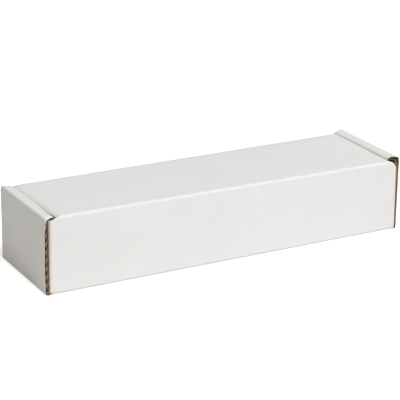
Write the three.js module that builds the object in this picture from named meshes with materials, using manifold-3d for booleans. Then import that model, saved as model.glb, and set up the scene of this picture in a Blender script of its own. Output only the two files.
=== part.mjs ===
// A long one-piece mailing box of white corrugated board, folded up and closed.
// Millimetres, +Z up. X runs along the box, the hinged long wall faces -Y, the tucked wall faces +Y.
// The origin is on the floor under the middle of the box.

import * as THREE from 'three';
import { mergeVertices } from 'three/addons/utils/BufferGeometryUtils.js';
import Module from 'manifold-3d';

const wasm = await Module();
wasm.setup();

// The board and its creases
const boardThickness = 2.7;
const layerGap = 0.3;         // air between two layers of board that lie on each other
const foldRadius = 2.2;       // outer radius of a creased fold
const foldSteps = 6;          // facets in a quarter turn

// The space inside
const insideLength = 279.4;
const insideDepth = 77;
const insideHeight = 51.8;

// The rolled ends
const leftEndRise = 0.4;      // the left end's roll stands this far above the lid
const rightEndRise = 2.0;     // the right end was folded looser and stands higher
const rollOuterRadius = 1.6;
const rollInnerRadius = 3.0;
const rollTaperStart = 0.9;   // the roll's cut ends slant in from here, measured in from the outer face
const rollTaperEnd = 5.0;

// The side flaps of the long walls, turned into the rolled ends
const sideFlapLength = 34;
const shoulderDrop = 3.5;     // the long walls' upper corners slope down by this much to the side flaps
const shoulderInset = 0.5;    // level part of that slope beside the corner crease

// The inner end panels' feet and their slots in the bottom
const footWidth = 16;
const footSpacing = 38;
const footClearance = 0.4;
const footRecess = 0.3;       // the feet end this far inside the slots

// The lid and its tuck flap
const lidSideGap = 0.6;
const hingeGap = 0.3;         // air between the lid and the long wall at the hinge crease
const tuckGap = 0.4;          // air between the tuck flap and the front wall
const tuckLength = 22;
const tuckCornerWidth = 8;
const tuckCornerRadius = 6;
const tuckSwingMargin = 1.2;  // degrees of extra lean, so that the flap swings out past the front wall

// Worked out from the sizes above
const endThickness = 3 * boardThickness + 2 * layerGap;
const boxLength = insideLength + 2 * endThickness;
const boxDepth = insideDepth + 2 * boardThickness;
const lidTop = insideHeight + 2 * boardThickness;
const backFace = -boxDepth / 2;
const frontFace = boxDepth / 2;
const frontWallTop = lidTop - boardThickness;
const sideFlapFace = boardThickness + layerGap;
const sideFlapFloor = boardThickness + layerGap;
const sideFlapTop = lidTop - shoulderDrop;
const innerPanelFace = 2 * boardThickness + 2 * layerGap;
const lidHalfLength = boxLength / 2 - endThickness - lidSideGap;
const overlap = 0.3;          // parts of the same sheet run into each other by this much before they are joined
const beyond = 5;             // cutters reach this far past what they cut

// The lid turns on the middle of the hinge crease's outer curve
const creaseInset = foldRadius * (1 - Math.SQRT1_2);
const hingeY = backFace + creaseInset;
const hingeZ = lidTop - creaseInset;

const boardWhite = 0xe9e9e7;

function toSolid(geometry) {
  geometry.deleteAttribute('normal');
  geometry.deleteAttribute('uv');
  const merged = mergeVertices(geometry, 1e-5);
  return new wasm.Manifold(new wasm.Mesh({
    numProp: 3,
    vertProperties: new Float32Array(merged.attributes.position.array),
    triVerts: new Uint32Array(merged.index.array),
  }));
}

function toMesh(solid, name) {
  const { vertProperties, triVerts } = solid.getMesh();
  const geometry = new THREE.BufferGeometry();
  geometry.setAttribute('position', new THREE.BufferAttribute(vertProperties, 3));
  geometry.setIndex(new THREE.BufferAttribute(triVerts, 1));
  geometry.computeVertexNormals();
  const material = new THREE.MeshStandardMaterial({ color: boardWhite, roughness: 0.75, metalness: 0 });
  const mesh = new THREE.Mesh(geometry, material);
  mesh.name = name;
  return mesh;
}

// Each of these takes an outline and the span that it is drawn along.
const axesAlongX = new THREE.Matrix4().makeBasis(
  new THREE.Vector3(0, 1, 0),
  new THREE.Vector3(0, 0, 1),
  new THREE.Vector3(1, 0, 0),
);
const axesAlongY = new THREE.Matrix4().makeBasis(
  new THREE.Vector3(1, 0, 0),
  new THREE.Vector3(0, 0, 1),
  new THREE.Vector3(0, -1, 0),
);

function extruded(outline, length) {
  return new THREE.ExtrudeGeometry(outline, { depth: length, bevelEnabled: false, curveSegments: foldSteps });
}

// An outline in (y, z), drawn from fromX to toX
function alongX(outline, fromX, toX) {
  const geometry = extruded(outline, toX - fromX);
  geometry.translate(0, 0, fromX);
  return toSolid(geometry.applyMatrix4(axesAlongX));
}

// An outline in (x, z), drawn from fromY to toY
function alongY(outline, fromY, toY) {
  const geometry = extruded(outline, toY - fromY);
  geometry.translate(0, 0, -toY);
  return toSolid(geometry.applyMatrix4(axesAlongY));
}

// An outline in (x, y), drawn from fromZ to toZ
function alongZ(outline, fromZ, toZ) {
  const geometry = extruded(outline, toZ - fromZ);
  geometry.translate(0, 0, fromZ);
  return toSolid(geometry);
}

function polygon(points) {
  return new THREE.Shape(points.map(([a, b]) => new THREE.Vector2(a, b)));
}

function block(fromX, toX, fromY, toY, fromZ, toZ) {
  const base = polygon([[fromX, fromY], [toX, fromY], [toX, toY], [fromX, toY]]);
  return alongZ(base, fromZ, toZ);
}

// The bottom and both long walls, seen from the end. The back wall stops in half of the hinge crease.
function troughOutline() {
  const creaseTurn = Math.PI / 4 - Math.asin(hingeGap / (2 * foldRadius));
  const hingeCut = lidTop - boardThickness - hingeGap * Math.SQRT1_2;
  const shape = new THREE.Shape();
  shape.moveTo(backFace + boardThickness, hingeCut);
  shape.lineTo(
    backFace + foldRadius * (1 - Math.cos(creaseTurn)),
    lidTop - foldRadius * (1 - Math.sin(creaseTurn)),
  );
  shape.absarc(backFace + foldRadius, lidTop - foldRadius, foldRadius, Math.PI - creaseTurn, Math.PI, false);
  shape.absarc(backFace + foldRadius, foldRadius, foldRadius, Math.PI, 1.5 * Math.PI, false);
  shape.absarc(frontFace - foldRadius, foldRadius, foldRadius, 1.5 * Math.PI, 2 * Math.PI, false);
  shape.lineTo(frontFace, frontWallTop);
  shape.lineTo(frontFace - boardThickness, frontWallTop);
  shape.lineTo(frontFace - boardThickness, boardThickness);
  shape.lineTo(backFace + boardThickness, boardThickness);
  shape.closePath();
  return shape;
}

// A corner of a long wall from above: the wall's end, the upright crease and the side flap behind it
function cornerOutline(side, wall) {
  const place = (inward, depth) => new THREE.Vector2(
    side * (boxLength / 2 - inward),
    wall * (boxDepth / 2 - depth),
  );
  const points = [
    place(sideFlapFace + foldRadius + overlap, 0),
    place(sideFlapFace + foldRadius, 0),
  ];
  for (let step = 1; step <= foldSteps; step += 1) {
    const turn = (step / foldSteps) * (Math.PI / 2);
    points.push(place(
      sideFlapFace + foldRadius * (1 - Math.sin(turn)),
      foldRadius * (1 - Math.cos(turn)),
    ));
  }
  points.push(place(sideFlapFace, sideFlapLength));
  points.push(place(sideFlapFace + boardThickness, sideFlapLength));
  points.push(place(sideFlapFace + boardThickness, boardThickness));
  points.push(place(sideFlapFace + foldRadius + overlap, boardThickness));
  return new THREE.Shape(points);
}

// What is cut off the long walls' upper corners, seen from the front
function shoulderCutter(side) {
  const place = (inward, height) => [side * (boxLength / 2 - inward), height];
  const cut = polygon([
    place(-beyond, sideFlapTop),
    place(sideFlapFace + shoulderInset, sideFlapTop),
    place(endThickness + lidSideGap, lidTop),
    place(endThickness + lidSideGap, lidTop + beyond),
    place(-beyond, lidTop + beyond),
  ]);
  return alongY(cut, backFace - beyond, frontFace + beyond);
}

// A rolled end from the front: up the outer panel, over the top and down the inner panel
function rollOutline(side, rollTop) {
  const centre = (inward) => side * (boxLength / 2 - inward);
  const start = sideFlapFace + foldRadius + overlap;
  const turned = (angle) => (side > 0 ? angle : Math.PI - angle);
  const clockwise = side < 0;
  const shape = new THREE.Shape();
  const arc = (inward, height, radius, from, to) => {
    shape.absarc(centre(inward), height, radius, turned(from), turned(to), clockwise);
  };
  shape.moveTo(centre(start), boardThickness);
  shape.lineTo(centre(start), 0);
  arc(foldRadius, foldRadius, foldRadius, -Math.PI / 2, 0);
  arc(rollOuterRadius, rollTop - rollOuterRadius, rollOuterRadius, 0, Math.PI / 2);
  arc(endThickness - rollInnerRadius, rollTop - rollInnerRadius, rollInnerRadius, Math.PI / 2, Math.PI);
  shape.lineTo(centre(endThickness), sideFlapFloor);
  shape.lineTo(centre(innerPanelFace), sideFlapFloor);
  shape.lineTo(centre(innerPanelFace), rollTop - boardThickness);
  shape.lineTo(centre(boardThickness), rollTop - boardThickness);
  shape.lineTo(centre(boardThickness), boardThickness);
  shape.closePath();
  return shape;
}

// The roll narrows on its way over the top, so that the inner panel fits between the long walls.
function rollTrim(side, wall, rollTop) {
  const inset = boardThickness + layerGap;
  const place = (inward, depth) => [side * (boxLength / 2 - inward), wall * (boxDepth / 2 - depth)];
  const taper = polygon([
    place(rollTaperStart, 0),
    place(rollTaperEnd, inset),
    place(endThickness + beyond, inset),
    place(endThickness + beyond, -beyond),
    place(rollTaperStart, -beyond),
  ]);
  const sides = polygon([
    place(boardThickness + layerGap / 2, inset),
    place(endThickness + beyond, inset),
    place(endThickness + beyond, -beyond),
    place(boardThickness + layerGap / 2, -beyond),
  ]);
  return alongZ(taper, rollTop - boardThickness, rollTop + beyond)
    .add(alongZ(sides, boardThickness + layerGap / 2, rollTop));
}

function rolledEnd(side, rollTop) {
  let end = alongY(rollOutline(side, rollTop), backFace, frontFace);
  for (const wall of [-1, 1]) {
    end = end.subtract(rollTrim(side, wall, rollTop));
  }
  return end;
}

// A foot of an inner end panel, or with a clearance the slot that takes it
function foot(side, wall, clearance, fromZ, toZ) {
  const outer = side * (boxLength / 2 - innerPanelFace + clearance);
  const inner = side * (boxLength / 2 - endThickness - clearance);
  const middle = wall * footSpacing / 2;
  const half = footWidth / 2 + clearance;
  return block(Math.min(outer, inner), Math.max(outer, inner), middle - half, middle + half, fromZ, toZ);
}

function makeTray() {
  const wallEnd = boxLength / 2 - sideFlapFace - foldRadius;
  let walls = alongX(troughOutline(), -wallEnd, wallEnd);
  for (const side of [-1, 1]) {
    walls = walls
      .add(alongZ(cornerOutline(side, -1), sideFlapFloor, sideFlapTop))
      .add(alongZ(cornerOutline(side, 1), sideFlapFloor, sideFlapTop))
      .subtract(shoulderCutter(side));
  }
  let tray = walls
    .add(rolledEnd(-1, lidTop + leftEndRise))
    .add(rolledEnd(1, lidTop + rightEndRise));
  for (const side of [-1, 1]) {
    for (const wall of [-1, 1]) {
      tray = tray
        .subtract(foot(side, wall, footClearance, -beyond, boardThickness + layerGap / 2))
        .add(foot(side, wall, 0, footRecess, sideFlapFloor + overlap));
    }
  }
  return toMesh(tray, 'tray');
}

// The tuck flap's lower edge swings out on a wider circle than the crease, so the flap leans inwards.
function tuckLean() {
  const reach = frontFace - boardThickness - tuckGap - hingeY;
  const outward = (tuckLength ** 2 - 2 * reach * tuckGap) / (2 * reach * tuckLength);
  return Math.asin(Math.max(outward, 0)) + THREE.MathUtils.degToRad(tuckSwingMargin);
}

// The lid and tuck flap from the end, beginning in the other half of the hinge crease
function lidOutline(lean) {
  const creaseTurn = Math.PI / 4 + Math.asin(hingeGap / (2 * foldRadius));
  const tuckY = frontFace - boardThickness - tuckGap - foldRadius;
  const tuckZ = lidTop - foldRadius;
  const outward = new THREE.Vector2(Math.cos(lean), -Math.sin(lean));
  const down = new THREE.Vector2(-Math.sin(lean), -Math.cos(lean));
  const crease = new THREE.Vector2(tuckY, tuckZ);
  const outerEnd = crease.clone().addScaledVector(outward, foldRadius).addScaledVector(down, tuckLength);
  const innerEnd = outerEnd.clone().addScaledVector(outward, -boardThickness);
  const insideCorner = (boardThickness - foldRadius) * (1 + Math.sin(lean)) / Math.cos(lean);
  const inner = crease.clone()
    .addScaledVector(outward, foldRadius - boardThickness)
    .addScaledVector(down, insideCorner);
  const shape = new THREE.Shape();
  shape.moveTo(inner.x, inner.y);
  shape.lineTo(innerEnd.x, innerEnd.y);
  shape.lineTo(outerEnd.x, outerEnd.y);
  shape.absarc(tuckY, tuckZ, foldRadius, -lean, Math.PI / 2, false);
  shape.absarc(backFace + foldRadius, lidTop - foldRadius, foldRadius, Math.PI / 2, Math.PI - creaseTurn, false);
  shape.lineTo(backFace + boardThickness + hingeGap * Math.SQRT1_2, lidTop - boardThickness);
  shape.closePath();
  return shape;
}

// What is cut off the tuck flap's end, seen from the front: a slope with a rounded lower corner
function tuckCornerCutter(side, lean) {
  const bottom = lidTop - foldRadius - tuckLength * Math.cos(lean) - boardThickness * Math.sin(lean) - beyond;
  const tip = lidTop - foldRadius - tuckLength * Math.cos(lean);
  const place = (inward, height) => [side * (lidHalfLength - inward), height];
  const points = [
    place(-beyond, lidTop - boardThickness - layerGap),
    place(0, lidTop - boardThickness - layerGap),
  ];
  for (let step = 0; step <= foldSteps; step += 1) {
    const turn = (step / foldSteps) * (Math.PI / 2);
    points.push(place(
      tuckCornerWidth - tuckCornerRadius * Math.cos(turn),
      tip + tuckCornerRadius * (1 - Math.sin(turn)),
    ));
  }
  points.push(place(tuckCornerWidth, bottom));
  points.push(place(-beyond, bottom));
  return alongY(polygon(points), 0, frontFace);
}

function makeLid() {
  const lean = tuckLean();
  const lid = alongX(lidOutline(lean), -lidHalfLength, lidHalfLength)
    .subtract(tuckCornerCutter(-1, lean))
    .subtract(tuckCornerCutter(1, lean));
  return toMesh(lid, 'lid');
}

const mailer = new THREE.Group();
mailer.add(makeTray());

// The lid is its own group on the hinge crease, so that turning the group opens the box.
const lidOnHinge = new THREE.Group();
lidOnHinge.position.set(0, hingeY, hingeZ);
const lid = makeLid();
lid.position.set(0, -hingeY, -hingeZ);
lidOnHinge.add(lid);
mailer.add(lidOnHinge);

export default mailer;
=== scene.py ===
"""The looks of a long one-piece mailing box: white-lined corrugated board, folded up and closed."""

import math

import bmesh
import bpy
from mathutils import Matrix, Vector


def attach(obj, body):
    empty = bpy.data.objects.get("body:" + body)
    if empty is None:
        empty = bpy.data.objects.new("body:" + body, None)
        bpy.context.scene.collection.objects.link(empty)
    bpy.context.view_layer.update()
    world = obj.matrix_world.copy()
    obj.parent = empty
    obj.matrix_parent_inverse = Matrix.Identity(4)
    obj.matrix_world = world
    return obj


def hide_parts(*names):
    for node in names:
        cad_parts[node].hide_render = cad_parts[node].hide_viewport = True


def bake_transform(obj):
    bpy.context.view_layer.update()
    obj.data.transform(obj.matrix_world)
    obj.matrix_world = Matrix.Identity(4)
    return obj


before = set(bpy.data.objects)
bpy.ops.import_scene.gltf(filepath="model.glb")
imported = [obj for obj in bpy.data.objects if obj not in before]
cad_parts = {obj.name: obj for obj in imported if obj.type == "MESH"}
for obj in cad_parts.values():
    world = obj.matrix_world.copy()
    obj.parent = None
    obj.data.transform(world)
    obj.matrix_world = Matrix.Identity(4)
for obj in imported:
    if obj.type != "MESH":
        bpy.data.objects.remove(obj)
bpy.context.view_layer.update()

MM = 0.001

# The board, in millimetres, as in the part's source
BOARD = 2.7
LAYER_GAP = 0.3
FOLD_RADIUS = 2.2
HALF_LENGTH = 148.4
HALF_DEPTH = 41.2
LID_TOP = 57.2
END_TOPS = {-1: 57.6, 1: 59.2}
END_THICKNESS = 3 * BOARD + 2 * LAYER_GAP
SIDE_FLAP_FACE = BOARD + LAYER_GAP
SIDE_FLAP_FLOOR = BOARD + LAYER_GAP
SIDE_FLAP_LENGTH = 34
INNER_PANEL_FACE = 2 * BOARD + 2 * LAYER_GAP
ROLL_OUTER_RADIUS = 1.6
ROLL_INNER_RADIUS = 3.0
ROLL_TAPER = (0.9, 5.0)       # how far in from the end the roll begins and stops narrowing
WALL_END = HALF_LENGTH - SIDE_FLAP_FACE - FOLD_RADIUS
CREASE_START = HALF_LENGTH - WALL_END
LID_CLEARANCE = 0.1
LID_HALF_LENGTH = HALF_LENGTH - END_THICKNESS - LID_CLEARANCE
FRONT_WALL_TOP = LID_TOP - BOARD
HINGE_GAP = 0.3
HINGE_GAP_TURN = math.degrees(math.asin(HINGE_GAP / (2 * FOLD_RADIUS)))
HINGE_CENTRE = (-HALF_DEPTH + FOLD_RADIUS, LID_TOP - FOLD_RADIUS)
TUCK_LEAN = math.radians(8.19)
TUCK_LENGTH = 22
TUCK_CLEARANCE = 0.4
TUCK_Y = HALF_DEPTH - BOARD - TUCK_CLEARANCE - FOLD_RADIUS
TUCK_CORNER = 8
TUCK_CORNER_RADIUS = 6
FOOT_WIDTH = 16
FOOT_MIDDLE = 19
FOOT_CLEARANCE = 0.4

# The white strip over the hinge crease runs from this height on the wall to this depth on the lid
STRIP_Z = 54.0
STRIP_LAP = 0.2
STRIP_Y = -HALF_DEPTH + BOARD + STRIP_LAP
STRIP_RUN_IN = 1              # how far in from the wall's face its ends turn towards the lid's ends

# The layers of the board
LINER = 0.35
FLUTE_PAPER = 0.25
FLUTE_PITCH = 6.4
LEAST_SWING = 0.05            # how far the fluting still swings where the board is pressed flat
FOOT_SWING = 0.4              # the feet's share of the full swing
SCALLOP = (0.55, 2.4)         # depth and pitch of the die's serrated cut
RAGGED = (0.1, 0.2, 1.7)      # the fluting's own cut: how far back, and its share of the scallop and its pace
OVER_CUT = (0.3, 0.6, 0.85)   # where the inner liner has points on its way up the slanting cut at the hinge

# How finely the layers are laid
ONE_STRETCH = 1000
PLAIN_STEP = 10
CORNER_STEP = 4
LINING_STEP = 1.5
TUCK_STEP = 1
WAVE_STEP = 0.8
ROLL_WAVE_STEP = 0.6
CUT_STEP = 0.4
STRIP_STEP = 0.25
CREASE_STEPS = 8
HINGE_STEPS = 4
END_SPANS = 12
CORNER_SPANS = 6
LID_SPANS = 24
CUT_OFFSETS = (0, 0.12, 0.3, 0.6, 1.0, 1.5, 2.1, 3.0)
LID_OFFSETS = (0, 0.25, 0.5, 0.8, 1.2, 1.6, 2.0, 2.5, 3.0, 4.0)
SHARP = math.radians(35)      # paper bent by more than this shows an edge

# How far a cut edge is pressed together on the outer and on the inner face, and over what width
NOT_PRESSED = ((0, 1), (0, 1))
EDGE_PRESS = {-1: ((0.2, 0.9), (0.5, 2.0)), 1: ((0, 1), (0.7, 2.5))}
LID_PRESS = {-1: ((1.9, 3.4), (0.15, 1.0)), 1: ((0.4, 2.0), (0.15, 1.0))}
ROLL_PRESS = {-1: ((0.8, 2.4), (0.6, 3.0)), 1: ((0.2, 1.5), (0.2, 2.0))}
ROLL_PRESS_RISE = (4, 1)      # how far below the roll's top its own press begins and is full
ROLL_PRESS_PAST = 1           # how far past the inner panel's face it goes

# The two ends differ. The long walls' upper corners run through these distances in and heights
SHOULDERS = {
    -1: ((2.6, 54.6), (5.2, 55.1), (8.4, 57.2)),
    1: ((2.6, 52.1), (5.2, 55.3), (8.0, 57.2)),
}
SHOULDER_CURVE = {-1: 0.5, 1: 1.0}      # 1 is a straight slope, and less is a hollow one

# The upright creases: how far in they stand, how much they lean and at what height that is nothing, how far
# round the corner the lean fades out, their radius, and how high they start
CREASE_FACE = {-1: 2.65, 1: 2.1}
CREASE_LEAN = {-1: 0.031, 1: 0.021}
CREASE_LEVEL = {-1: 42, 1: 26}
CREASE_REACH = 4
UPRIGHT_RADIUS = {-1: 2.2, 1: 0.7}
CORNER_FLOOR = {-1: 1.6, 1: 0.2}

# The ends' stretch of the bottom: the radius of its crease, and how much of the roll's narrowing the right
# one has
END_RADIUS = 1.0
ON_FLOOR = 0.1
BOTTOM_TAPER = 0.4

# How far the layers are behind the die's line. A walk is the way up an end's outer face
TORN = {-1: 2.8, 1: 0.0}      # the outer liner, torn back below the roll
TORN_WALK = (56, 20)          # where the tear begins and is full, with a quick start for a small curve
TORN_CURVE = 0.35
TORN_FOOT = (20, -20)         # where it lessens again, and would be gone
HOLLOW = 1.6                  # the shoulders' fluting and inner liner
ROLL_HOLLOW = {-1: 2.4, 1: 3.0}
LINER_SET_BACK = 0.9          # a roll's inner liner
ROLL_WALK = (58, 61)          # where the upright edge becomes the roll's cut end

# The lid's left corner is cut in by this much beside the hinge, from this depth on
LID_NOTCH = 0.8
NOTCH_START = -36.5

# The hinge crease is folded a little out of level: its rise in the middle, its fall for each millimetre
# along it, and how far it curls up over the last stretch at each end
HINGE_RISE = 0.2
HINGE_FALL = 0.0075
HINGE_CURL = 0.25
HINGE_CURL_SPAN = (126, 142)
ASKEW_FROM = 40               # the walls are true up to this height

# The right roll's inner side has sunk by this much, most at this distance in, and only above the lid's level
ROLL_SAG = 0.55
ROLL_SAG_MIDDLE = 7
ROLL_SAG_HEIGHT = 1
ROLL_SAG_START = (1, 5)       # how far from the roll's cut end it begins and is full


class Run:
    """A run of panels seen end on: pairs of points on the board's outer and inner face."""

    def __init__(self, outer, inner):
        self.pairs = [(Vector(outer), Vector(inner))]

    def straight(self, outer, inner, step=ONE_STRETCH):
        from_outer, from_inner = self.pairs[-1]
        outer, inner = Vector(outer), Vector(inner)
        steps = max(1, math.ceil((outer - from_outer).length / step))
        for number in range(1, steps + 1):
            share = number / steps
            self.pairs.append((from_outer.lerp(outer, share), from_inner.lerp(inner, share)))
        return self

    def crease(self, centre, radius, start, end, steps=CREASE_STEPS):
        inner = self.pairs[-1][1]
        for number in range(1, steps + 1):
            turn = math.radians(start + (end - start) * number / steps)
            outer = Vector(centre) + radius * Vector((math.cos(turn), math.sin(turn)))
            self.pairs.append((outer, inner.copy()))
        return self

    def walks(self):
        """How far each pair is along the outer face."""
        walk = [0.0]
        for (before, _), (after, _) in zip(self.pairs, self.pairs[1:]):
            walk.append(walk[-1] + (after - before).length)
        return walk


def edge_rows(edge_offsets, middle):
    """Rows that crowd at both edges: each is a share of the width and an offset."""
    low = [(0, offset) for offset in edge_offsets]
    high = [(1, -offset) for offset in reversed(edge_offsets)]
    return low + [(number / middle, 0) for number in range(1, middle)] + high


def lay(target, run, rows, place, depth, limit, along_rows=False, side=1, open_at=None):
    """Lays one layer of paper over a run of panels into a mesh, side 1 facing out and -1 facing in.

    Wave follows wave along the run, or with along_rows from row to row.
    """
    stations = len(run.pairs) - 1
    across = len(rows) - 1
    walks = run.walks()
    paper = bmesh.new()
    bmesh.ops.create_grid(paper, x_segments=stations, y_segments=across, size=0.5)
    sheet, outward = {}, {}
    for vert in paper.verts:
        station = round((vert.co.x + 0.5) * stations)
        share, offset = rows[round((vert.co.y + 0.5) * across)]
        outer, inner = run.pairs[station]
        low, high = limit(outer, walks[station])
        nominal = offset if share is None else low + share * (high - low) + offset
        row = min(max(nominal, low), high)
        along, across_grain = (row, walks[station]) if along_rows else (walks[station], row)
        spot = outer.lerp(inner, depth(min(row - low, high - row), along, outer) / BOARD)
        vert.co = Vector(place(spot.x, spot.y, row)) * MM
        sheet[vert] = (along * MM, across_grain * MM)
        outward[vert] = Vector(place(outer.x, outer.y, row)) - Vector(place(inner.x, inner.y, row))
    uv = paper.loops.layers.uv.new("sheet")
    for face in paper.faces:
        for loop in face.loops:
            loop[uv].uv = sheet[loop.vert]
    paper.normal_update()
    facing = sum(face.normal.dot(outward[face.verts[0]]) for face in paper.faces)
    if facing * side < 0:
        bmesh.ops.reverse_faces(paper, faces=paper.faces)
    if open_at:
        cut = [face for face in paper.faces if open_at(face.calc_center_median() / MM)]
        bmesh.ops.delete(paper, geom=cut, context="FACES")
    bmesh.ops.remove_doubles(paper, verts=paper.verts, dist=1e-6)
    bmesh.ops.dissolve_degenerate(paper, edges=paper.edges, dist=1e-6)
    laid = bpy.data.meshes.new("laid")
    paper.to_mesh(laid)
    paper.free()
    target.from_mesh(laid)
    bpy.data.meshes.remove(laid)


def pressed(distance, press):
    """How deep a face is pressed in at this distance from a cut edge."""
    amount, width = press
    return amount * max(0, 1 - distance / width) ** 2


def not_pressed(spot, along):
    return NOT_PRESSED


def lid_press(spot, along):
    return LID_PRESS[-1 if along < 0 else 1]


def outer_depth(press_at):
    return lambda distance, along, spot: pressed(distance, press_at(spot, along)[0])


def inner_depth(press_at):
    return lambda distance, along, spot: BOARD - pressed(distance, press_at(spot, along)[1])


def flute_depth(press_at, height=1.0):
    """The fluted paper swings between the two liners."""

    def depth(distance, along, spot):
        outer = pressed(distance, press_at(spot, along)[0])
        inner = BOARD - pressed(distance, press_at(spot, along)[1])
        swing = max(LEAST_SWING, (inner - outer) / 2 - LINER - FLUTE_PAPER / 2)
        return (outer + inner) / 2 + height * swing * math.sin(2 * math.pi * along / FLUTE_PITCH)

    return depth


def scallop(walk):
    """How far the serrated cut is behind the die's line."""
    depth, pitch = SCALLOP
    return depth * abs(math.sin(math.pi * walk / pitch))


def within(value, start, stop):
    """How far a value is on its way from start to stop, from 0 to 1."""
    return min(max((value - start) / (stop - start), 0), 1)


def askew(x, y, z):
    """The hinge crease isn't quite level, which fades out across the lid and down the wall."""
    share = within(y, HALF_DEPTH / 2, -HALF_DEPTH) * within(z, ASKEW_FROM, LID_TOP)
    curl = HINGE_CURL * within(abs(x), *HINGE_CURL_SPAN) ** 2
    return x, y, z + (HINGE_RISE - HINGE_FALL * x + curl) * share


# The bottom and both long walls
def trough_run():
    back, front, inner = -HALF_DEPTH, HALF_DEPTH, HALF_DEPTH - BOARD
    reach = FOOT_WIDTH / 2 + FOOT_CLEARANCE
    slots = [sign * FOOT_MIDDLE + edge for sign in (1, -1) for edge in (reach, -reach)]
    run = Run((front, FRONT_WALL_TOP), (inner, FRONT_WALL_TOP))
    run.straight((front, FOLD_RADIUS), (inner, BOARD))
    run.crease((front - FOLD_RADIUS, FOLD_RADIUS), FOLD_RADIUS, 0, -90)
    for y in sorted(slots, reverse=True):
        run.straight((y, 0), (y, BOARD))
    run.straight((back + FOLD_RADIUS, 0), (-inner, BOARD))
    run.crease((back + FOLD_RADIUS, FOLD_RADIUS), FOLD_RADIUS, -90, -180)
    run.straight((back, STRIP_Z), (-inner, FRONT_WALL_TOP - HINGE_GAP))
    return run


def shoulder_ends(height):
    """The long walls' upper corners slope down to the side flaps."""
    ends = []
    for side in (-1, 1):
        _, (low_in, low), (high_in, high) = SHOULDERS[side]
        share = within(height, low, high) ** SHOULDER_CURVE[side]
        ends.append(side * (HALF_LENGTH - low_in - share * (high_in - low_in)))
    return tuple(ends)


def wall_limit(spot, walk):
    return shoulder_ends(spot.y)


def hollow_wall_limit(spot, walk):
    return shoulder_ends(spot.y + HOLLOW)


def in_slot(spot):
    inward = HALF_LENGTH - abs(spot.x)
    along = INNER_PANEL_FACE - FOOT_CLEARANCE < inward < END_THICKNESS + FOOT_CLEARANCE
    across = abs(abs(spot.y) - FOOT_MIDDLE) < FOOT_WIDTH / 2 + FOOT_CLEARANCE
    return along and across and spot.z < SIDE_FLAP_FLOOR


def trough_rows(step):
    slot = [HALF_LENGTH - INNER_PANEL_FACE + FOOT_CLEARANCE, HALF_LENGTH - END_THICKNESS - FOOT_CLEARANCE]
    count = math.ceil(slot[1] / step)
    middle = [slot[1] * number / count for number in range(-count, count + 1)]
    rows = [-WALL_END, -slot[0], *middle, slot[0], WALL_END]
    return [(None, row) for row in rows]


def across_box(a, b, row):
    return askew(row, a, b)


def hinge_half(run):
    """Adds the back wall's half of the hinge crease."""
    run.straight((-HALF_DEPTH, LID_TOP - FOLD_RADIUS), run.pairs[-1][1])
    return run.crease(HINGE_CENTRE, FOLD_RADIUS, 180, 135 + HINGE_GAP_TURN, HINGE_STEPS)


def over_cut(outer, inner):
    """Pairs that carry the inner liner up over the slanting cut at the hinge."""
    return [(outer, inner.lerp(outer, share)) for share in OVER_CUT]


# A rolled end: a short stretch of the bottom, the outer panel, the roll and the inner panel
def end_run(side, step):
    top = END_TOPS[side]
    run = Run((CREASE_START, 0), (CREASE_START, BOARD))
    run.straight((END_RADIUS, 0), (BOARD, BOARD), step)
    run.crease((END_RADIUS, END_RADIUS), END_RADIUS, -90, -180)
    run.straight((0, top - ROLL_OUTER_RADIUS), (BOARD, top - BOARD), step)
    run.crease((ROLL_OUTER_RADIUS, top - ROLL_OUTER_RADIUS), ROLL_OUTER_RADIUS, 180, 90)
    run.straight((END_THICKNESS - ROLL_INNER_RADIUS, top), (INNER_PANEL_FACE, top - BOARD), step)
    run.crease((END_THICKNESS - ROLL_INNER_RADIUS, top - ROLL_INNER_RADIUS), ROLL_INNER_RADIUS, 90, 0)
    run.straight((END_THICKNESS, SIDE_FLAP_FLOOR), (INNER_PANEL_FACE, SIDE_FLAP_FLOOR), step)
    return run


def end_limit(side, near_cut, far_cut):
    """The roll narrows on its way over the top, and so does the right end's stretch of the bottom."""

    def limit(spot, walk):
        share = within(spot.x, *ROLL_TAPER) if spot.y > BOARD else 0
        if side > 0 and spot.y < ON_FLOOR and spot.x > CREASE_FACE[side]:
            share = BOTTOM_TAPER
        half = HALF_DEPTH - (BOARD + LAYER_GAP) * share
        return near_cut(walk) - half, half - far_cut(walk)

    return limit


def end_press(side):
    """The cut ends of a roll are pressed more than the upright edges below it."""

    def press_at(spot, along):
        start, full = (END_TOPS[side] - below for below in ROLL_PRESS_RISE)
        share = within(spot.y, start, full) if spot.x < INNER_PANEL_FACE + ROLL_PRESS_PAST else 0
        pairs = zip(EDGE_PRESS[side], ROLL_PRESS[side])
        outer, inner = [tuple(a + (b - a) * share for a, b in zip(low, high)) for low, high in pairs]
        return (outer[0] * within(spot.y, 0, FOLD_RADIUS), outer[1]), inner

    return press_at


def end_place(side):
    def place(a, b, row):
        sunk = within(a, ROLL_OUTER_RADIUS, ROLL_SAG_MIDDLE) * within(a, END_THICKNESS, ROLL_SAG_MIDDLE)
        sunk *= within(b, LID_TOP - ROLL_SAG_HEIGHT, LID_TOP)
        sunk *= within(row + HALF_DEPTH, *ROLL_SAG_START) if side > 0 else 0
        return side * (HALF_LENGTH - a), row, b - ROLL_SAG * sunk

    return place


def foot_run():
    run = Run((END_THICKNESS, SIDE_FLAP_FLOOR), (INNER_PANEL_FACE, SIDE_FLAP_FLOOR))
    return run.straight((END_THICKNESS, LAYER_GAP), (INNER_PANEL_FACE, LAYER_GAP))


def foot_limit(middle):
    return lambda spot, walk: (middle - FOOT_WIDTH / 2, middle + FOOT_WIDTH / 2)


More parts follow.
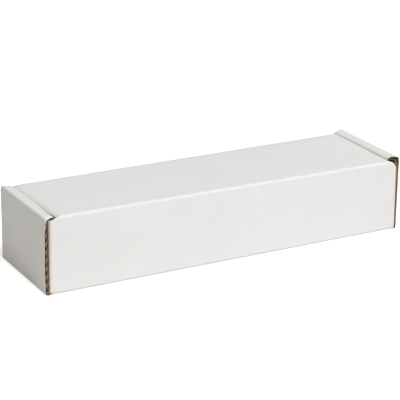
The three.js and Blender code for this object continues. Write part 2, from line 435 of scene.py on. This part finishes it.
# The upright crease at the end of a long wall, and the side flap behind it
def corner_run(side, step):
    face, radius = CREASE_FACE[side], UPRIGHT_RADIUS[side]
    inner = SIDE_FLAP_FACE + BOARD
    run = Run((CREASE_START, 0), (inner, BOARD))
    run.straight((face + radius, 0), (inner, BOARD))
    run.crease((face + radius, radius), radius, -90, -180)
    run.straight((SIDE_FLAP_FACE, radius + CREASE_REACH), (inner, radius + CREASE_REACH), step)
    run.straight((SIDE_FLAP_FACE, SIDE_FLAP_LENGTH), (inner, SIDE_FLAP_LENGTH), step)
    return run


def corner_limit(side, wall, drop=0):
    (low_in, low), (high_in, high), _ = SHOULDERS[side]
    under_roll = END_TOPS[side] - BOARD - LAYER_GAP
    most = LID_TOP if wall < 0 else FRONT_WALL_TOP

    def limit(spot, walk):
        if spot.y > SIDE_FLAP_FACE:
            return SIDE_FLAP_FLOOR, min(low, under_roll)
        floor = CORNER_FLOOR[side] * within(spot.x, CREASE_START, CREASE_FACE[side])
        return floor, min(most, low + within(spot.x, low_in, high_in) * (high - low)) - drop

    return limit


def corner_place(side, wall):
    def place(a, b, row):
        short = max(0, FOLD_RADIUS - row)
        rounded = b + FOLD_RADIUS - math.sqrt(FOLD_RADIUS ** 2 - short ** 2)
        share = within(a, CREASE_START, CREASE_FACE[side]) * within(b, CREASE_REACH, 0)
        a += CREASE_LEAN[side] * (row - CREASE_LEVEL[side]) * share
        return askew(side * (HALF_LENGTH - a), wall * (HALF_DEPTH - rounded), row)

    return place


# The lid and its tuck flap
def lid_run(step=ONE_STRETCH, from_hinge=True):
    lean = TUCK_LEAN
    outward = Vector((math.cos(lean), -math.sin(lean)))
    down = Vector((-math.sin(lean), -math.cos(lean)))
    crease = Vector((TUCK_Y, LID_TOP - FOLD_RADIUS))
    inside_corner = (BOARD - FOLD_RADIUS) * (1 + math.sin(lean)) / math.cos(lean)
    inner_corner = crease + outward * (FOLD_RADIUS - BOARD) + down * inside_corner
    outer_end = crease + outward * FOLD_RADIUS + down * TUCK_LENGTH
    inner_end = outer_end - outward * BOARD
    hinge = Vector(HINGE_CENTRE)
    hinge_inner = Vector((-HALF_DEPTH + BOARD + HINGE_GAP * math.sqrt(0.5), LID_TOP - BOARD))
    turn = math.radians(135 - HINGE_GAP_TURN)
    if from_hinge:
        run = Run(hinge + FOLD_RADIUS * Vector((math.cos(turn), math.sin(turn))), hinge_inner)
        run.crease(hinge, FOLD_RADIUS, math.degrees(turn), 90, HINGE_STEPS)
        run.straight((STRIP_Y, LID_TOP), (STRIP_Y, LID_TOP - BOARD))
    else:
        run = Run((STRIP_Y, LID_TOP), (STRIP_Y, LID_TOP - BOARD))
    run.straight((TUCK_Y, LID_TOP), inner_corner, step)
    run.crease(crease, FOLD_RADIUS, 90, -math.degrees(lean))
    run.straight(outer_end, inner_end, TUCK_STEP)
    return run


def lid_limit(spot, walk):
    """The tuck flap's ends slope in to rounded lower corners."""
    tip = LID_TOP - FOLD_RADIUS - TUCK_LENGTH * math.cos(TUCK_LEAN)
    start = LID_TOP - BOARD - LAYER_GAP
    cut_top = tip + TUCK_CORNER_RADIUS
    inward = 0.0
    if spot.y < start:
        slope = (TUCK_CORNER - TUCK_CORNER_RADIUS) / (start - cut_top)
        inward = (start - max(spot.y, cut_top)) * slope
    if spot.y < cut_top:
        rise = min(1, (cut_top - spot.y) / TUCK_CORNER_RADIUS)
        inward += TUCK_CORNER_RADIUS * (1 - math.sqrt(max(0, 1 - rise * rise)))
    half = LID_HALF_LENGTH - inward
    return LID_NOTCH * within(spot.x, NOTCH_START, STRIP_Y) - half, half


def strip_run():
    """The white liner over the hinge crease."""
    inner = (-HALF_DEPTH + BOARD, LID_TOP - BOARD)
    run = Run((-HALF_DEPTH, STRIP_Z), inner)
    run.straight((-HALF_DEPTH, LID_TOP - FOLD_RADIUS), inner, STRIP_STEP)
    run.crease(HINGE_CENTRE, FOLD_RADIUS, 180, 90, 2 * CREASE_STEPS)
    return run.straight((STRIP_Y, LID_TOP), (STRIP_Y, LID_TOP - BOARD))


def strip_limit(spot, walk):
    low, high = wall_limit(spot, walk)
    over = within(spot.x, STRIP_RUN_IN - HALF_DEPTH, STRIP_Y)
    return low + (LID_NOTCH - LID_HALF_LENGTH - low) * over, high + (LID_HALF_LENGTH - high) * over


def strip_press(spot, along):
    """Pressed like the lid's edges where it meets the lid, and flat where it meets the wall."""
    amount, width = lid_press(spot, along)[0]
    return ((amount * within(spot.y, LID_TOP - FOLD_RADIUS, LID_TOP), width), (0, 1))


# Materials
class Wire:
    """A socket that arithmetic works on."""

    def __init__(self, tree, socket):
        self.tree = tree
        self.socket = socket

    def _maths(self, operation, *values):
        made = self.tree.nodes.new("ShaderNodeMath")
        made.operation = operation
        for slot, value in zip(made.inputs, values):
            plug(self.tree, value, slot)
        return Wire(self.tree, made.outputs[0])

    def __add__(self, other):
        return self._maths("ADD", self, other)

    def __radd__(self, other):
        return self._maths("ADD", other, self)

    def __sub__(self, other):
        return self._maths("SUBTRACT", self, other)

    def __rsub__(self, other):
        return self._maths("SUBTRACT", other, self)

    def __mul__(self, other):
        return self._maths("MULTIPLY", self, other)

    def __rmul__(self, other):
        return self._maths("MULTIPLY", other, self)


def plug(tree, value, slot):
    """Links a wire to a socket, or sets the socket's own value."""
    if isinstance(value, Wire):
        tree.links.new(value.socket, slot)
    else:
        slot.default_value = value


class Finish:
    """A material's nodes, or the world's."""

    def __init__(self, holder):
        holder.use_nodes = True
        self.tree = holder.node_tree
        self.tree.nodes.clear()

    def node(self, kind, settings, sockets, out=0):
        made = self.tree.nodes.new("ShaderNode" + kind)
        for key, value in settings.items():
            setattr(made, key, value)
        for key, value in sockets.items():
            plug(self.tree, value, made.inputs[key])
        return Wire(self.tree, made.outputs[out]) if made.outputs else None

    def noise(self, spot, scale, detail=3, roughness=0.5):
        sockets = {"Vector": spot, "Scale": scale, "Detail": detail, "Roughness": roughness}
        return self.node("TexNoise", {}, sockets, "Fac")

    def mix(self, factor, first, second):
        return self.node("Mix", {"data_type": "RGBA"}, {0: factor, 6: first, 7: second}, 2)

    def stretched(self, spot, scale):
        return self.node("Mapping", {}, {"Vector": spot, "Scale": scale})

    def smooth(self, value, low, high):
        """0 below low, 1 above high."""
        sockets = {"Value": value, "From Min": low, "From Max": high}
        return self.node("MapRange", {"interpolation_type": "SMOOTHSTEP"}, sockets)

    def band(self, value, start, full, past, end):
        """Rises from start to full, and falls again from past to end."""
        return self.smooth(value, start, full) * (1 - self.smooth(value, past, end))

    def surface(self, shader, kind="OutputMaterial"):
        self.node(kind, {}, {"Surface": shader})


def colour(red, green, blue):
    return (red, green, blue, 1.0)


WHITE = colour(1, 1, 1)
PAPER_WHITE = colour(0.805, 0.805, 0.797)
CLOUDED_WHITE = colour(0.775, 0.775, 0.765)
FIBRE_WHITE = colour(0.74, 0.735, 0.715)
# painted shade for the hinge fold's band, toning down its highlight
FOLD_SHADE_WHITE = colour(0.745, 0.745, 0.738)
# painted warm reflection of the brown cut edge on the upright creases
BROWN_REFLECTION_WHITE = colour(0.80, 0.72, 0.60)

# Where a painted warm reflection of the brown cut edge tints the upright creases, in metres along, across and
# up the box
BROWN_REFLECTION_ALONG = (0.1425, 0.1445, 0.1452, 0.1456)
BROWN_REFLECTION_ACROSS = (0.0384, 0.0386)
BROWN_REFLECTION_UP = (0.0027, 0.0029)

# The band of the hinge crease that is painted darker, a painted shade that tones down the highlight its
# rounded fold catches, in metres across its strip
FOLD_SHADE_BAND = (0.0008, 0.002, 0.0036, 0.0048)


def white_paper(name, fold=None):
    """Smooth bleached liner: cloudy at a distance, with fine fibre, a painted warm reflection of the brown
    cut edge at the upright creases, and painted shade along the fold whose band across the sheet is given,
    which tones down the highlight there."""
    material = bpy.data.materials.new(name)
    make = Finish(material)
    spot = make.node("TexCoord", {}, {}, "Object")
    x, y, z = (make.node("SeparateXYZ", {}, {0: spot}, axis) for axis in range(3))
    along = make.node("Math", {"operation": "ABSOLUTE"}, {0: x})
    across = make.node("Math", {"operation": "ABSOLUTE"}, {0: y})
    clouds = make.noise(spot, scale=26, detail=4, roughness=0.6)
    fibre = make.noise(spot, scale=1400, detail=3, roughness=0.6)
    tone = make.mix(make.smooth(clouds, 0.3, 0.7), CLOUDED_WHITE, PAPER_WHITE)
    tone = make.mix(make.smooth(fibre, 0.2, 0.8) * 0.25, tone, FIBRE_WHITE)
    # painted reflection: a cream tint on the upright creases, standing in for warm light from the brown cut
    # edge beside them
    brown_reflection = make.band(along, *BROWN_REFLECTION_ALONG)
    brown_reflection = brown_reflection * make.smooth(across, *BROWN_REFLECTION_ACROSS) * make.smooth(z, *BROWN_REFLECTION_UP)
    tone = make.mix(brown_reflection * 0.3, tone, BROWN_REFLECTION_WHITE)
    if fold:
        sheet = make.node("UVMap", {"uv_map": "sheet"}, {})
        walk = make.node("SeparateXYZ", {}, {0: sheet}, 1)
        # painted shade: the fold's band is made darker to tone down the highlight it catches
        tone = make.mix(make.band(walk, *fold), tone, FOLD_SHADE_WHITE)
    bump = make.node("Bump", {}, {"Strength": 0.12, "Distance": 0.0002, "Height": fibre + clouds * 2.0})
    shader = make.node("BsdfPrincipled", {}, {
        "Base Color": tone,
        "Roughness": 0.62 + (fibre - 0.5) * 0.12,
        "Specular IOR Level": 0.35,
        "Normal": bump,
    })
    make.surface(shader)
    return material


def kraft_paper(name, light, dark):
    """Unbleached liner or fluting: long fibres along the mill's direction, with darker specks."""
    material = bpy.data.materials.new(name)
    make = Finish(material)
    sheet = make.node("UVMap", {"uv_map": "sheet"}, {})
    fibres = make.noise(make.stretched(sheet, (180, 1600, 1)), scale=1.0, detail=4, roughness=0.6)
    clouds = make.noise(make.stretched(sheet, (30, 60, 1)), scale=1.0, detail=3)
    specks = make.noise(make.stretched(sheet, (700, 2400, 1)), scale=1.0, detail=2)
    tone = make.mix(make.smooth(fibres * 0.7 + clouds * 0.3, 0.3, 0.7), dark, light)
    deep = tuple(value * 0.55 for value in dark[:3]) + (1.0,)
    tone = make.mix(make.smooth(specks, 0.66, 0.78) * 0.6, tone, deep)
    bump = make.node("Bump", {}, {"Strength": 0.3, "Distance": 0.0002, "Height": fibres})
    shader = make.node("BsdfPrincipled", {}, {
        "Base Color": tone,
        "Roughness": 0.82 + (fibres - 0.5) * 0.15,
        "Specular IOR Level": 0.25,
        "Normal": bump,
    })
    make.surface(shader)
    return material


white = white_paper("white_liner")
# the hinge strip's liner, with painted shade along its fold
fold_shaded_white = white_paper("fold_shaded_white_liner", FOLD_SHADE_BAND)
kraft = kraft_paper("kraft_liner", colour(0.52, 0.35, 0.20), colour(0.36, 0.225, 0.12))
fluting = kraft_paper("kraft_fluting", colour(0.50, 0.35, 0.22), colour(0.33, 0.22, 0.135))
# The cut edges are a darker brown than the kraft: partly the cut paper's own tone, and partly painted shade
# for the shadow these edges lie in
cut = kraft_paper("cut_edge_painted_shade", colour(0.31, 0.225, 0.155), colour(0.19, 0.135, 0.09))


# Pieces
def piece(name, mesh, thickness, offset, materials):
    """An object of paper of this thickness. Its face and its back may differ."""
    data = bpy.data.meshes.new(name)
    mesh.to_mesh(data)
    mesh.free()
    obj = bpy.data.objects.new(name, data)
    bpy.context.scene.collection.objects.link(obj)
    for material in materials:
        data.materials.append(material)
    paper = obj.modifiers.new("paper", "SOLIDIFY")
    paper.thickness = thickness * MM
    paper.offset = offset
    paper.material_offset = 1
    paper.material_offset_rim = 2
    depsgraph = bpy.context.evaluated_depsgraph_get()
    solid = bpy.data.meshes.new_from_object(obj.evaluated_get(depsgraph))
    solid.name = name
    obj.modifiers.clear()
    obj.data = solid
    shaded = bmesh.new()
    shaded.from_mesh(solid)
    bmesh.ops.remove_doubles(shaded, verts=shaded.verts, dist=1e-7)
    for face in shaded.faces:
        face.smooth = True
    for edge in shaded.edges:
        edge.smooth = edge.is_manifold and edge.calc_face_angle(0) < SHARP
    shaded.to_mesh(solid)
    shaded.free()
    return obj


def no_cut(walk):
    return 0.0


def torn(side):
    """The outer liner is scalloped, and torn back down the edge, less again at its foot."""

    def cut(walk):
        share = within(walk, *TORN_WALK) ** TORN_CURVE * (1 - within(walk, *TORN_FOOT))
        return scallop(walk) + TORN[side] * share

    return cut


def set_back(walk):
    return LINER_SET_BACK * within(walk, *ROLL_WALK)


def ragged(side):
    """The fluting is a little behind the liners on the upright edges, and further behind in the rolls."""
    back, share, pace = RAGGED
    return lambda walk: back + share * scallop(walk * pace) + ROLL_HOLLOW[side] * within(walk, *ROLL_WALK)


def make_tray():
    face, back, wave = bmesh.new(), bmesh.new(), bmesh.new()
    outer, inner, fluted = outer_depth(not_pressed), inner_depth(not_pressed), flute_depth(not_pressed)
    lining = hinge_half(trough_run())
    lining.pairs.extend(over_cut(*lining.pairs[-1]))
    lay(face, trough_run(), trough_rows(PLAIN_STEP), across_box, outer, wall_limit,
        along_rows=True, open_at=in_slot)
    lay(back, lining, trough_rows(PLAIN_STEP), across_box, inner, hollow_wall_limit,
        along_rows=True, side=-1, open_at=in_slot)
    lay(wave, hinge_half(trough_run()), trough_rows(WAVE_STEP), across_box, fluted, hollow_wall_limit,
        along_rows=True, open_at=in_slot)
    rows = edge_rows(CUT_OFFSETS, END_SPANS)
    corner_rows = edge_rows(CUT_OFFSETS, CORNER_SPANS)
    for side in (-1, 1):
        place, press = end_place(side), end_press(side)
        lay(face, end_run(side, CUT_STEP), rows, place, outer_depth(press),
            end_limit(side, torn(side), scallop))
        lay(back, end_run(side, LINING_STEP), rows, place, inner_depth(press),
            end_limit(side, set_back, no_cut), side=-1)
        lay(wave, end_run(side, ROLL_WAVE_STEP), rows, place, flute_depth(press),
            end_limit(side, ragged(side), ragged(-1)))
        layers = ((face, outer, 1), (back, inner, -1), (wave, flute_depth(not_pressed, FOOT_SWING), 1))
        for foot in (-1, 1):
            for mesh, depth, facing in layers:
                lay(mesh, foot_run(), [(0, 0), (1, 0)], place, depth, foot_limit(foot * FOOT_MIDDLE),
                    side=facing)
        layers = (
            (face, outer, 1, CORNER_STEP, 0),
            (back, inner, -1, CORNER_STEP, HOLLOW),
            (wave, fluted, 1, WAVE_STEP, HOLLOW),
        )
        for wall in (-1, 1):
            for mesh, depth, facing, step, drop in layers:
                lay(mesh, corner_run(side, step), corner_rows, corner_place(side, wall), depth,
                    corner_limit(side, wall, drop), side=facing)
    pieces = [
        piece("tray_white_liner", face, LINER, -1, [white, kraft, cut]),
        piece("tray_kraft_liner", back, LINER, -1, [kraft, kraft, cut]),
        piece("tray_fluting", wave, FLUTE_PAPER, 0, [fluting, fluting, cut]),
    ]
    for made in pieces:
        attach(made, "tray")
    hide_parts("tray")


def make_lid():
    face, back, wave = bmesh.new(), bmesh.new(), bmesh.new()
    lining = lid_run(PLAIN_STEP)
    lining.pairs[:0] = reversed(over_cut(*lining.pairs[0]))
    rows = edge_rows(LID_OFFSETS, LID_SPANS)
    fine = edge_rows(LID_OFFSETS[:1], math.ceil(2 * LID_HALF_LENGTH / WAVE_STEP))
    lay(face, lid_run(PLAIN_STEP, False), rows, across_box, outer_depth(lid_press), lid_limit, True)
    lay(back, lining, rows, across_box, inner_depth(lid_press), lid_limit, True, -1)
    lay(wave, lid_run(), fine, across_box, flute_depth(lid_press), lid_limit, True)
    pieces = [
        piece("lid_white_liner", face, LINER, -1, [white, kraft, cut]),
        piece("lid_kraft_liner", back, LINER, -1, [kraft, kraft, cut]),
        piece("lid_fluting", wave, FLUTE_PAPER, 0, [fluting, fluting, cut]),
    ]
    for made in pieces:
        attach(made, "lid")
    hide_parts("lid")


def make_hinge():
    mesh = bmesh.new()
    rows = edge_rows(LID_OFFSETS, LID_SPANS)
    lay(mesh, strip_run(), rows, across_box, outer_depth(strip_press), strip_limit, True)
    crease = piece("hinge_crease", mesh, LINER, -1, [fold_shaded_white, kraft, cut])
    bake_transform(crease)


make_tray()
make_lid()
make_hinge()


# Floor, background, light and camera
FLOOR_SIZE = 6.0
FLOOR_Z = -0.0001
FLOOR_TONE = colour(0.82, 0.82, 0.82)
FLOOR_LIFT = 0.6              # what the camera sees of the floor is lifted to white by this much
WORLD_GLOW = 0.22
LAMP_DISTANCE = 4.0
LAMP_SIZE = 3.0
PICTURE = 400
SENSOR = 36
AIM_HEIGHT = 0.028


def make_floor():
    mesh = bmesh.new()
    bmesh.ops.create_grid(mesh, x_segments=1, y_segments=1, size=FLOOR_SIZE)
    data = bpy.data.meshes.new("floor")
    mesh.to_mesh(data)
    mesh.free()
    floor = bpy.data.objects.new("floor", data)
    bpy.context.scene.collection.objects.link(floor)
    floor.location.z = FLOOR_Z
    material = bpy.data.materials.new("pale_floor")
    make = Finish(material)
    seen = make.node("LightPath", {}, {}, "Is Camera Ray")
    plain = make.node("BsdfDiffuse", {}, {"Color": FLOOR_TONE})
    lift = make.node("Emission", {}, {"Color": WHITE, "Strength": FLOOR_LIFT})
    bright = make.node("AddShader", {}, {0: plain, 1: lift})
    make.surface(make.node("MixShader", {}, {0: seen, 1: plain, 2: bright}))
    data.materials.append(material)


def make_world():
    world = bpy.data.worlds.new("studio")
    bpy.context.scene.world = world
    make = Finish(world)
    seen = make.node("LightPath", {}, {}, "Is Camera Ray")
    strength = WORLD_GLOW + seen * (1 - WORLD_GLOW)
    glow = make.node("Background", {}, {"Color": WHITE, "Strength": strength})
    make.surface(glow, "OutputWorld")


def make_lamp(name, direction, tint, power):
    lamp = bpy.data.lights.new(name, "AREA")
    lamp.shape = "DISK"
    lamp.size = LAMP_SIZE
    lamp.energy = power
    lamp.color = tint[:3]
    holder = bpy.data.objects.new(name, lamp)
    bpy.context.scene.collection.objects.link(holder)
    aim = Vector(direction).normalized()
    holder.location = aim * LAMP_DISTANCE
    holder.rotation_euler = aim.to_track_quat("Z", "Y").to_euler()


def make_camera():
    """The photograph's view, for a picture of 400 by 400 pixels."""
    azimuth, elevation, roll = (math.radians(angle) for angle in (-28.840, 19.811, 0.648))
    focal, distance, centre_u, centre_v = 1672.5, 1.2659, 204.52, 208.22
    back = Vector((
        math.sin(azimuth) * math.cos(elevation),
        -math.cos(azimuth) * math.cos(elevation),
        math.sin(elevation),
    ))
    level_right = (-back).cross(Vector((0, 0, 1))).normalized()
    level_up = level_right.cross(-back)
    right = level_right * math.cos(roll) + level_up * math.sin(roll)
    up = level_up * math.cos(roll) - level_right * math.sin(roll)
    data = bpy.data.cameras.new("camera")
    data.sensor_width = SENSOR
    data.lens = focal * SENSOR / PICTURE
    data.clip_start, data.clip_end = 0.05, 50
    camera = bpy.data.objects.new("camera", data)
    bpy.context.scene.collection.objects.link(camera)
    left_by = (centre_u - PICTURE / 2) / focal * distance
    up_by = (centre_v - PICTURE / 2) / focal * distance
    camera.matrix_world = Matrix((right, up, back)).transposed().to_4x4()
    camera.location = Vector((0, 0, AIM_HEIGHT)) + back * distance + (up * up_by - right * left_by)
    bpy.context.scene.camera = camera


make_floor()
make_world()
make_lamp("key", (0.12, -0.38, 0.62), WHITE, 161)
make_lamp("warm_fill", (-1, -0.1, 0.3), colour(1, 0.78, 0.4), 12)
make_camera()
bpy.context.scene.view_settings.view_transform = "Standard"
